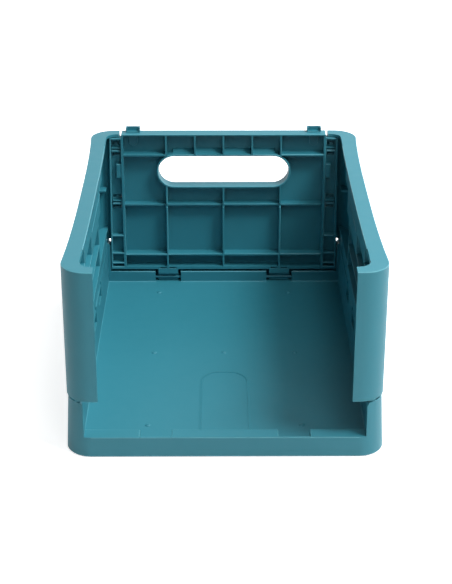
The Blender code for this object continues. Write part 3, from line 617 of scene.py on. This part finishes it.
@dataclass
class BaseTray:
    """The base tray with its floor pips, the border of its blank label place and its hinge pins.

    Attributes:
        pip_radius: Radius of the pips that the ejector pins leave on the floor.
        pip_height: Height of the pips.
        pip_sides: Facets round a pip.
        pip_rings: Facets from pole to pole of a pip.
        pip_spread: Middle of the floor to the outer pips, along X.
        pip_row: Middle of the floor to the front and rear pips.
        label_width: Width of the label place.
        label_depth: Depth of the label place, from the front rail.
        label_round: Rounding of its rear corners.
        label_facets: Facets of that rounding.
        label_apron: Width of the border's gentle outer slope.
        label_slope: Width of the border's steep inner slope.
        label_height: Height of the border.
        floor_top: Height of the floor's top.
        rail_top: Height of the rails' tops.
        base_top: Height of the corner posts.
        rail_depth: Depth of the front rail.
        ledge_radius: Rounding of the rails' upper edges.
        corner_radius: Rounding of the corner posts' upper edges.
        floor_fillet: Fillet between the floor and the rails.
    """

    pip_radius: float = 2.6 * MM
    pip_height: float = 1.0 * MM
    pip_sides: int = 16
    pip_rings: int = 10
    pip_spread: float = 67.0 * MM
    pip_row: float = 139.0 * MM
    label_width: float = 41.0 * MM
    label_depth: float = 126.0 * MM
    label_round: float = 18.0 * MM
    label_facets: int = 10
    label_apron: float = 2.5 * MM
    label_slope: float = 0.15 * MM
    label_height: float = 0.4 * MM
    floor_top: float = 7.7 * MM
    rail_top: float = 19.4 * MM
    base_top: float = 51.0 * MM
    rail_depth: float = 14.0 * MM
    ledge_radius: float = 0.8 * MM
    corner_radius: float = 0.5 * MM
    floor_fillet: float = 0.9 * MM

    def build(self, finishes: Finishes) -> None:
        """Build the tray and what is on it.

        Args:
            finishes: Finishes of the crate.
        """
        roundings = (Rounding(2, self.rail_top, self.rail_top, self.ledge_radius),
                     Rounding(2, self.base_top, self.base_top, self.corner_radius),
                     Rounding(2, self.floor_top, self.floor_top, self.floor_fillet, hollow=True))
        Moulding("base_tray", Body.BASE, roundings=roundings).build(finishes)
        self.floor_pips(finishes)
        self.label_border(finishes)
        for node in frame["record"]["behaviour"]["bodies"][Body.BASE.value]:
            if "pin" in node:
                Moulding(node, Body.BASE, Slot.FITTING).build(finishes)

    def floor_pips(self, finishes: Finishes) -> None:
        """Build the small pips that the ejector pins leave on the floor.

        Args:
            finishes: Finishes of the crate.
        """
        places = [(x * self.pip_spread, y * self.pip_row) for x in (-1, 1) for y in (-1, 0, 1)]
        places.append((0.0, 0.0))
        shape = bmesh.new()
        for x, y in places:
            dome = bmesh.ops.create_uvsphere(shape, u_segments=self.pip_sides, v_segments=self.pip_rings,
                                             radius=self.pip_radius)["verts"]
            bmesh.ops.scale(shape, vec=(1, 1, self.pip_height / self.pip_radius), verts=dome)
            bmesh.ops.translate(shape, vec=(x, y, self.floor_top), verts=dome)
        make_piece("floor_pips", shape, finishes, Slot.CRATE, Body.BASE)

    def label_border(self, finishes: Finishes) -> None:
        """Build the border round the blank label place, which rises gently and drops inwards.

        Args:
            finishes: Finishes of the crate.
        """
        inner = -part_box("base_tray")[1].y + self.rail_depth
        shape = bmesh.new()
        bmesh.ops.create_grid(shape, x_segments=1, y_segments=1, size=0.5)
        width, depth = self.label_width + 2 * self.label_apron, self.label_depth + self.label_apron
        bmesh.ops.scale(shape, vec=(width, 2 * depth, 1), verts=shape.verts)
        bmesh.ops.bevel(shape, geom=list(shape.verts), offset=self.label_round + self.label_apron,
                        segments=self.label_facets, profile=ROUND_PROFILE, affect="VERTICES", material=-1)
        bmesh.ops.translate(shape, vec=(0, inner, self.floor_top - self.label_height), verts=shape.verts)
        plate = list(shape.faces)
        bmesh.ops.inset_region(shape, faces=plate, thickness=self.label_apron,
                               use_boundary=True, use_even_offset=True)
        crest = {vert.co.to_tuple(SAME_PLACE_DIGITS) for face in plate for vert in face.verts}
        bmesh.ops.inset_region(shape, faces=plate, thickness=self.label_slope, use_even_offset=True)
        bmesh.ops.delete(shape, geom=plate, context="FACES")
        raised = bmesh.ops.extrude_face_region(shape, geom=list(shape.faces))["geom"]
        moved = [item for item in raised if isinstance(item, bmesh.types.BMVert)]
        tops = [vert for vert in moved if vert.co.to_tuple(SAME_PLACE_DIGITS) in crest]
        bmesh.ops.translate(shape, vec=(0, 0, self.label_height), verts=moved)
        bmesh.ops.translate(shape, vec=(0, 0, self.label_height), verts=tops)
        everything = shape.verts[:] + shape.edges[:] + shape.faces[:]
        cut = bmesh.ops.bisect_plane(shape, geom=everything, plane_co=(0, inner + self.label_height, 0),
                                     plane_no=(0, -1, 0), clear_outer=True)["geom_cut"]
        bmesh.ops.holes_fill(shape, edges=[item for item in cut if isinstance(item, bmesh.types.BMEdge)])
        bmesh.ops.recalc_face_normals(shape, faces=shape.faces)
        make_piece("label_border", shape, finishes, Slot.CRATE, Body.BASE)


@dataclass
class SideWall:
    """One long side wall with its rounded rim and the fine beads along its inner face.

    Attributes:
        body: Body that it moves with.
        node: Node of the frame that it stands for.
        rim_radius: Rounding of its rim's upper edges.
        inner_face: Middle of the crate to the wall's inner face.
        beads: Front end, rear end and height of each bead.
        bead_size: Width and height of a bead.
        stub_depth: Front and rear of the stubs under the wrapped ends.
        stub_reach: Inner and outer end of a stub, from the crate's middle.
        stub_gap: Gap between a stub and the base.
        base_top: Height of the base's corner posts.
        wall_bottom: Height of the wrapped ends' lower edges.
    """

    body: Body
    node: str
    rim_radius: float = 0.7 * MM
    inner_face: float = 121.8 * MM
    beads: tuple[Point, ...] = ((-150.0 * MM, 124.0 * MM, 154.5 * MM), (-5.0 * MM, 94.0 * MM, 134.0 * MM))
    bead_size: float = 0.9 * MM
    stub_depth: tuple[float, float] = (172.0 * MM, 176.0 * MM)
    stub_reach: tuple[float, float] = (120.6 * MM, 125.5 * MM)
    stub_gap: float = 0.25 * MM
    base_top: float = 51.0 * MM
    wall_bottom: float = 53.3 * MM

    def build(self, finishes: Finishes) -> None:
        """Build the wall with its beads and stubs.

        Args:
            finishes: Finishes of the crate.
        """
        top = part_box(self.node)[1].z
        rim = Rounding(2, top, top, self.rim_radius)
        Moulding(self.node, self.body, roundings=(rim,)).build(finishes)
        side = -1 if self.body is Body.LEFT else 1
        half = self.bead_size / 2
        shape = bmesh.new()
        for front, rear, level in self.beads:
            middle = side * self.inner_face
            add_block(shape, (middle - half, front, level - half), (middle + half, rear, level + half))
        across = sorted(side * reach for reach in self.stub_reach)
        for end in (-1, 1):
            along = sorted(end * depth for depth in self.stub_depth)
            add_block(shape, (across[0], along[0], self.base_top + self.stub_gap),
                      (across[1], along[1], self.wall_bottom + self.stub_gap))
        round_edges(shape, sharp_edges(shape), self.bead_size / 4)
        make_piece(f"{self.node}_beads", shape, finishes, Slot.CRATE, self.body)


@dataclass
class SnapClip:
    """A snap clip in a side channel, with the tongues in the slots above and below it.

    Attributes:
        node: Node of the frame that it stands for.
        width: Width of the clip, which nearly fills the channel.
        slot_edge: Plate left between the clip and each slot.
        slot_height: Height of a slot.
        tongue_width: Width of the tongues.
        tongue_rise: Height of the upper tongue.
        tongue_taper: Width of the upper tongue's top, as a share of its foot.
        tongue_depth: Depth of the tongues.
        tongue_slim: Depth of a tongue's top, as a share of its foot.
    """

    node: str
    width: float = 9.0 * MM
    slot_edge: float = 1.0 * MM
    slot_height: float = 4.0 * MM
    tongue_width: float = 4.8 * MM
    tongue_rise: float = 2.8 * MM
    tongue_taper: float = 0.45
    tongue_depth: float = 1.4 * MM
    tongue_slim: float = 0.5

    def build(self, finishes: Finishes) -> None:
        """Build the clip and its tongues.

        Args:
            finishes: Finishes of the crate.
        """
        low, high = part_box(self.node)
        middle = (low.x + high.x) / 2
        shape = Moulding(self.node, Body.REAR, Slot.FITTING).shape()
        bmesh.ops.translate(shape, vec=(-middle, 0, 0), verts=shape.verts)
        bmesh.ops.scale(shape, vec=(self.width / (high.x - low.x), 1, 1), verts=shape.verts)
        bmesh.ops.translate(shape, vec=(middle, 0, 0), verts=shape.verts)
        clip = make_piece(f"{self.node}_moulding", shape, finishes, Slot.FITTING, Body.REAR)
        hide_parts(self.node)
        depth = high.y + self.slot_edge + self.tongue_depth / 2
        upper_foot = (middle, depth, high.z + self.slot_edge)
        lower_foot = (middle, depth, low.z - self.slot_edge - self.slot_height)
        tongues = bmesh.new()
        self.tongue(tongues, upper_foot, self.tongue_rise, self.tongue_taper)
        self.tongue(tongues, lower_foot, self.tongue_rise / 2, taper=1.0)
        make_piece(f"{self.node}_tongues", tongues, finishes, Slot.FITTING, Body.REAR)

    def tongue(self, shape: bmesh.types.BMesh, foot: Point, rise: float, taper: float) -> None:
        """Add a tongue that stands on the lower edge of a slot.

        Args:
            shape: Shape that gets the tongue.
            foot: Middle of its foot.
            rise: Its height.
            taper: Width of its top, as a share of its foot.
        """
        sunk = self.slot_edge / 2
        block = bmesh.ops.create_cube(shape, size=1.0)["verts"]
        top = [vert for vert in block if vert.co.z > 0]
        bmesh.ops.scale(shape, vec=(taper, self.tongue_slim, 1), verts=top)
        bmesh.ops.scale(shape, vec=(self.tongue_width, self.tongue_depth, rise + sunk), verts=block)
        bmesh.ops.translate(shape, vec=Vector(foot) + Vector((0, 0, (rise - sunk) / 2)), verts=block)


@dataclass
class RearPanel:
    """The ribbed end panel with its clips, stacking tabs and ejector marks.

    Attributes:
        rim_radius: Rounding of its rim's upper edges.
        crest_radius: Rounding of its ribs' front edges.
        crest_step: How far behind its front a rib's front edge may lie.
        plate: Thickness of its plate.
        marks: Places of the ejector marks on the plate's inner face, in X and Z.
        mark_radius: Radius of a mark.
        mark_line: Width of the raised line round a mark.
        mark_height: Height of that line.
        mark_sink: How far the mark's middle sinks, as a share of that height.
        mark_sides: Facets round a mark.
        seal_low: Lowest corner of the right one of the seals that close the gaps to the corner posts.
        seal_high: Highest corner of that seal.
        tab_wall: Thickness of a stacking tab's back wall and cheeks.
        tab_floor: Height of the tab's floor over the rim.
        cells_half: Crate's middle to the outer end of the top cells.
        rib_step: Distance of the ribs between the top cells.
        rib: Thickness of the ribs.
        rim: Height of the rim's flange on the frame.
        rim_thin: Height of the flange that is shown over the top cells.
        window_reach: Nearer and farther side of a hinge's windows, from its middle.
        window_levels: Sill and head of the windows.
        window_depth: Depth of the windows.
        trim_reach: Stretch that is cut off a hinge lug at each side, from its middle.
        trim_depth: Depth of that cut.
        trim_top: Top of that cut.
        collar_top: Top of the hand hole's collar.
        slope_end: Crate's middle to the outer end of the slopes over the collar.
        slope_depth: Depth of those slopes.
        slope_rise: Their rise towards the plate.
    """

    rim_radius: float = 0.5 * MM
    crest_radius: float = 0.6 * MM
    crest_step: float = 3.0 * MM
    plate: float = 2.5 * MM
    marks: tuple[tuple[float, float], ...] = (
        (-62.6 * MM, 162.0 * MM), (-34.9 * MM, 162.0 * MM), (6.8 * MM, 162.0 * MM), (34.2 * MM, 162.0 * MM),
        (64.0 * MM, 162.0 * MM), (-72.0 * MM, 137.5 * MM), (72.0 * MM, 137.5 * MM),
    )
    mark_radius: float = 2.7 * MM
    mark_line: float = 0.6 * MM
    mark_height: float = 0.2 * MM
    mark_sink: float = 0.8
    mark_sides: int = 28
    seal_low: Point = (117.0 * MM, 176.0 * MM, 22.2 * MM)
    seal_high: Point = (118.9 * MM, 178.5 * MM, 50.5 * MM)
    tab_wall: float = 1.3 * MM
    tab_floor: float = 0.9 * MM
    cells_half: float = 102.2 * MM
    rib_step: float = 29.3 * MM
    rib: float = 1.8 * MM
    rim: float = 3.0 * MM
    rim_thin: float = 1.5 * MM
    window_reach: tuple[float, float] = (1.4 * MM, 8.8 * MM)
    window_levels: tuple[float, float] = (22.7 * MM, 24.4 * MM)
    window_depth: float = 3.0 * MM
    trim_reach: tuple[float, float] = (10.4 * MM, 13.0 * MM)
    trim_depth: float = 8.0 * MM
    trim_top: float = 21.8 * MM
    collar_top: float = 149.5 * MM
    slope_end: float = 52.0 * MM
    slope_depth: float = 7.5 * MM
    slope_rise: float = 4.0 * MM

    def build(self, finishes: Finishes) -> None:
        """Build the panel and the fittings in it.

        Args:
            finishes: Finishes of the crate.
        """
        front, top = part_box("rear_panel")[0].y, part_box("rear_panel")[1].z
        roundings = (Rounding(2, top, top, self.rim_radius),
                     Rounding(1, front, front + self.crest_step, self.crest_radius))
        knife = block_knife(self.rim_cuts() + self.hinge_cuts())
        Moulding("rear_panel", Body.REAR, roundings=roundings, knife=knife).build(finishes)
        self.ejector_marks(finishes)
        self.collar_slopes(finishes)
        self.corner_seals(finishes)
        for node in frame["record"]["behaviour"]["bodies"][Body.REAR.value]:
            if "clip" in node:
                SnapClip(node).build(finishes)
            elif "tab" in node:
                knife = block_knife([self.tab_cut(node)])
                Moulding(node, Body.REAR, Slot.FITTING, knife=knife).build(finishes)

    def corner_seals(self, finishes: Finishes) -> None:
        """Build the seals that close the gaps between the panel and the corner posts.

        Args:
            finishes: Finishes of the crate.
        """
        shape = bmesh.new()
        add_block(shape, self.seal_low, self.seal_high)
        add_block(shape, (-self.seal_high[0], *self.seal_low[1:]), (-self.seal_low[0], *self.seal_high[1:]))
        make_piece("corner_seals", shape, finishes, Slot.CRATE, Body.REAR)

    def tab_cut(self, node: str) -> Block:
        """Find the block that leaves a stacking tab's head as a back wall with two cheeks.

        Args:
            node: Node of the tab.

        Returns:
            The block.
        """
        low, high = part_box(node)
        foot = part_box("rear_panel")[1].z + self.tab_floor
        return ((low.x + self.tab_wall, low.y - self.tab_wall, foot),
                (high.x - self.tab_wall, high.y - self.tab_wall, high.z + self.tab_wall))

    def rim_cuts(self) -> list[Block]:
        """Find the blocks that thin the rim over the top cells.

        Returns:
            The blocks.
        """
        low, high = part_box("rear_panel")
        edges = (-self.cells_half, *(step * self.rib_step for step in range(-2, 3)), self.cells_half)
        half = self.rib / 2
        cuts = []
        for left, right in zip(edges, edges[1:]):
            start = left + (half if left > -self.cells_half else 0)
            end = right - (half if right < self.cells_half else 0)
            cuts.append(((start, low.y - half, high.z - self.rim - half),
                         (end, high.y - self.plate, high.z - self.rim_thin)))
        return cuts

    def hinge_cuts(self) -> list[Block]:
        """Find the blocks that open the windows over the hinge lugs and narrow the lugs.

        Returns:
            The blocks.
        """
        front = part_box("rear_panel")[0].y
        before = front - self.rib
        sill, head = self.window_levels
        cuts = []
        for middle in (-2 * self.rib_step, 2 * self.rib_step):
            for side in (-1, 1):
                across = sorted(middle + side * reach for reach in self.window_reach)
                cuts.append(((across[0], before, sill), (across[1], front + self.window_depth, head)))
                across = sorted(middle + side * reach for reach in self.trim_reach)
                cuts.append(((across[0], before, 0.0), (across[1], front + self.trim_depth, self.trim_top)))
        return cuts

    def collar_slopes(self, finishes: Finishes) -> None:
        """Build the slopes between the hand hole's collar and the plate, in the cells over the hole.

        Args:
            finishes: Finishes of the crate.
        """
        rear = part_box("rear_panel")[1].y - self.plate
        half = self.rib / 2
        shape = bmesh.new()
        for left, right in ((half, self.rib_step - half), (self.rib_step + half, self.slope_end)):
            for across in ((left, right), (-right, -left)):
                block = add_block(shape, (across[0], rear - self.slope_depth, self.collar_top - half),
                                  (across[1], rear + half, self.collar_top + self.slope_rise))
                front = [vert for vert in block if vert.co.y < rear and vert.co.z > self.collar_top]
                bmesh.ops.translate(shape, vec=(0, 0, -self.slope_rise), verts=front)
        make_piece("collar_slopes", shape, finishes, Slot.CRATE, Body.REAR)

    def ejector_marks(self, finishes: Finishes) -> None:
        """Build the fine rings that the ejector pins leave on the plate's inner face.

        Args:
            finishes: Finishes of the crate.
        """
        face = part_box("rear_panel")[1].y - self.plate
        upright = Matrix.Rotation(math.pi / 2, 3, "X")
        shape = bmesh.new()
        for x, z in self.marks:
            disc = bmesh.ops.create_cone(shape, cap_ends=True, segments=self.mark_sides,
                                         radius1=self.mark_radius, radius2=self.mark_radius,
                                         depth=2 * self.mark_height)["verts"]
            bmesh.ops.rotate(shape, verts=disc, matrix=upright)
            bmesh.ops.translate(shape, vec=(x, face, z), verts=disc)
        shape.normal_update()
        fronts = [side for side in shape.faces if side.normal.angle(Vector((0, -1, 0))) < SHARP_ANGLE]
        bmesh.ops.inset_individual(shape, faces=fronts, thickness=self.mark_line,
                                   depth=-self.mark_height * self.mark_sink)
        make_piece("ejector_marks", shape, finishes, Slot.CRATE, Body.REAR)


@dataclass(frozen=True)
class Softbox:
    """A soft area light.

    Attributes:
        name: Name of the light.
        place: Where it stands.
        aim: Point that it faces.
        width: Its width.
        height: Its height.
        power: Its power in watts.
    """

    name: str
    place: Point
    aim: Point
    width: float
    height: float
    power: float

    def build(self) -> None:
        """Put the light in the scene, facing its aim."""
        lamp = bpy.data.lights.new(self.name, "AREA")
        lamp.shape = "RECTANGLE"
        lamp.size, lamp.size_y = self.width, self.height
        lamp.energy = self.power
        item = bpy.data.objects.new(self.name, lamp)
        item.location = self.place
        item.rotation_euler = (Vector(self.aim) - Vector(self.place)).to_track_quat("-Z", "Y").to_euler()
        bpy.context.scene.collection.objects.link(item)


@dataclass
class Studio:
    """White floor, soft lights and the camera at the photograph's viewpoint.

    Attributes:
        camera_place: Where the camera stands.
        camera_pitch: How far it looks down, in degrees.
        camera_yaw: How far it looks to the right, in degrees.
        lens: Its focal length, in millimetres.
        floor_half: Middle of the floor to its sides.
        floor_drop: How far the floor lies under the crate.
        floor_shade: Grey of the floor, which keeps the crate's shadow.
        floor_roughness: Roughness of the floor.
        floor_glow: Light that the floor adds where it is seen, so that it looks white.
        ambient: Strength of the surroundings as a light.
        lights: The soft lights.
    """

    camera_place: Point = (-0.0049, -1.2465, 0.6422)
    camera_pitch: float = 24.6
    camera_yaw: float = 0.302
    lens: float = 89.95
    floor_half: float = 2.2
    floor_drop: float = 0.2 * MM
    floor_shade: float = 0.80
    floor_roughness: float = 0.9
    floor_glow: float = 0.85
    ambient: float = 0.02
    lights: tuple[Softbox, ...] = (
        Softbox("key_right", (0.893, -0.625, 1.636), CRATE_MIDDLE, 0.5, 0.5, 24.3),
        Softbox("side_right", (1.090, 0.0, 1.636), CRATE_MIDDLE, 0.8, 0.8, 15.9),
        Softbox("back_right", (1.164, 1.164, 1.030), CRATE_MIDDLE, 0.7, 0.7, 12.6),
        Softbox("overhead", (0.286, -0.165, 1.951), CRATE_MIDDLE, 0.5, 0.5, 7.4),
        Softbox("front_fill", (0.348, -1.298, 1.424), CRATE_MIDDLE, 0.5, 0.5, 4.7),
        Softbox("left_low", (-1.80, 0.30, 0.20), CRATE_SIDES, 1.6, 0.30, 1.2),
        Softbox("back_low", (0.10, 2.00, 0.35), CRATE_SIDES, 1.6, 0.40, 2.5),
    )

    def build(self) -> None:
        """Build the floor, the surroundings, the lights and the camera."""
        bpy.context.scene.view_settings.view_transform = "Standard"
        self.floor()
        self.world()
        for light in self.lights:
            light.build()
        self.camera()

    def camera(self) -> None:
        """Place the camera."""
        data = bpy.data.cameras.new("camera")
        data.lens = self.lens
        camera = bpy.data.objects.new("camera", data)
        camera.location = self.camera_place
        tilt, turn = math.radians(90 - self.camera_pitch), math.radians(-self.camera_yaw)
        camera.rotation_euler = Euler((tilt, 0, turn))
        bpy.context.scene.collection.objects.link(camera)
        bpy.context.scene.camera = camera

    @staticmethod
    def seen_directly(tree: bpy.types.NodeTree) -> bpy.types.NodeSocket:
        """Find which rays see a surface directly.

        Args:
            tree: Node tree that gets the nodes.

        Returns:
            A socket that is 1 for camera, glossy and transmission rays.
        """
        rays = add_node(tree, "ShaderNodeLightPath").outputs
        mirror = math_node(tree, "MAXIMUM", rays["Is Glossy Ray"], rays["Is Transmission Ray"])
        return math_node(tree, "MAXIMUM", rays["Is Camera Ray"], mirror)

    def floor(self) -> None:
        """Build the pale floor, white where it is lit and grey in the crate's shadow."""
        shape = bmesh.new()
        bmesh.ops.create_grid(shape, x_segments=1, y_segments=1, size=self.floor_half)
        bmesh.ops.translate(shape, vec=(0, 0, -self.floor_drop), verts=shape.verts)
        mesh = bpy.data.meshes.new("studio_floor")
        shape.to_mesh(mesh)
        shape.free()
        material = bpy.data.materials.new("studio_floor")
        material.use_nodes = True
        tree = material.node_tree
        shader = tree.nodes["Principled BSDF"]
        shader.inputs["Base Color"].default_value = (*[self.floor_shade] * 3, 1.0)
        shader.inputs["Roughness"].default_value = self.floor_roughness
        shader.inputs["Specular IOR Level"].default_value = 0.0
        glow = add_node(tree, "ShaderNodeEmission")
        strength = math_node(tree, "MULTIPLY", self.seen_directly(tree), self.floor_glow)
        tree.links.new(strength, glow.inputs["Strength"])
        both = add_node(tree, "ShaderNodeAddShader")
        tree.links.new(shader.outputs["BSDF"], both.inputs[0])
        tree.links.new(glow.outputs["Emission"], both.inputs[1])
        tree.links.new(both.outputs["Shader"], tree.nodes["Material Output"].inputs["Surface"])
        mesh.materials.append(material)
        floor = bpy.data.objects.new("studio_floor", mesh)
        bpy.context.scene.collection.objects.link(floor)

    def world(self) -> None:
        """Build the surroundings: white where they are seen, dim where they only light the crate."""
        world = bpy.data.worlds.new("studio")
        bpy.context.scene.world = world
        world.use_nodes = True
        tree = world.node_tree
        background = tree.nodes["Background"]
        background.inputs["Color"].default_value = (1.0, 1.0, 1.0, 1.0)
        seen = self.seen_directly(tree)
        lit = math_node(tree, "MULTIPLY_ADD", seen, 1.0 - self.ambient, self.ambient)
        tree.links.new(lit, background.inputs["Strength"])


def main() -> None:
    """Build the crate's looks and the studio."""
    logging.basicConfig(level=logging.INFO, format="%(message)s")
    finishes = Finishes.build()
    BaseTray().build(finishes)
    SideWall(Body.LEFT, "left_wall").build(finishes)
    SideWall(Body.RIGHT, "right_wall").build(finishes)
    RearPanel().build(finishes)
    Studio().build()


if __name__ == "__main__":
    main()
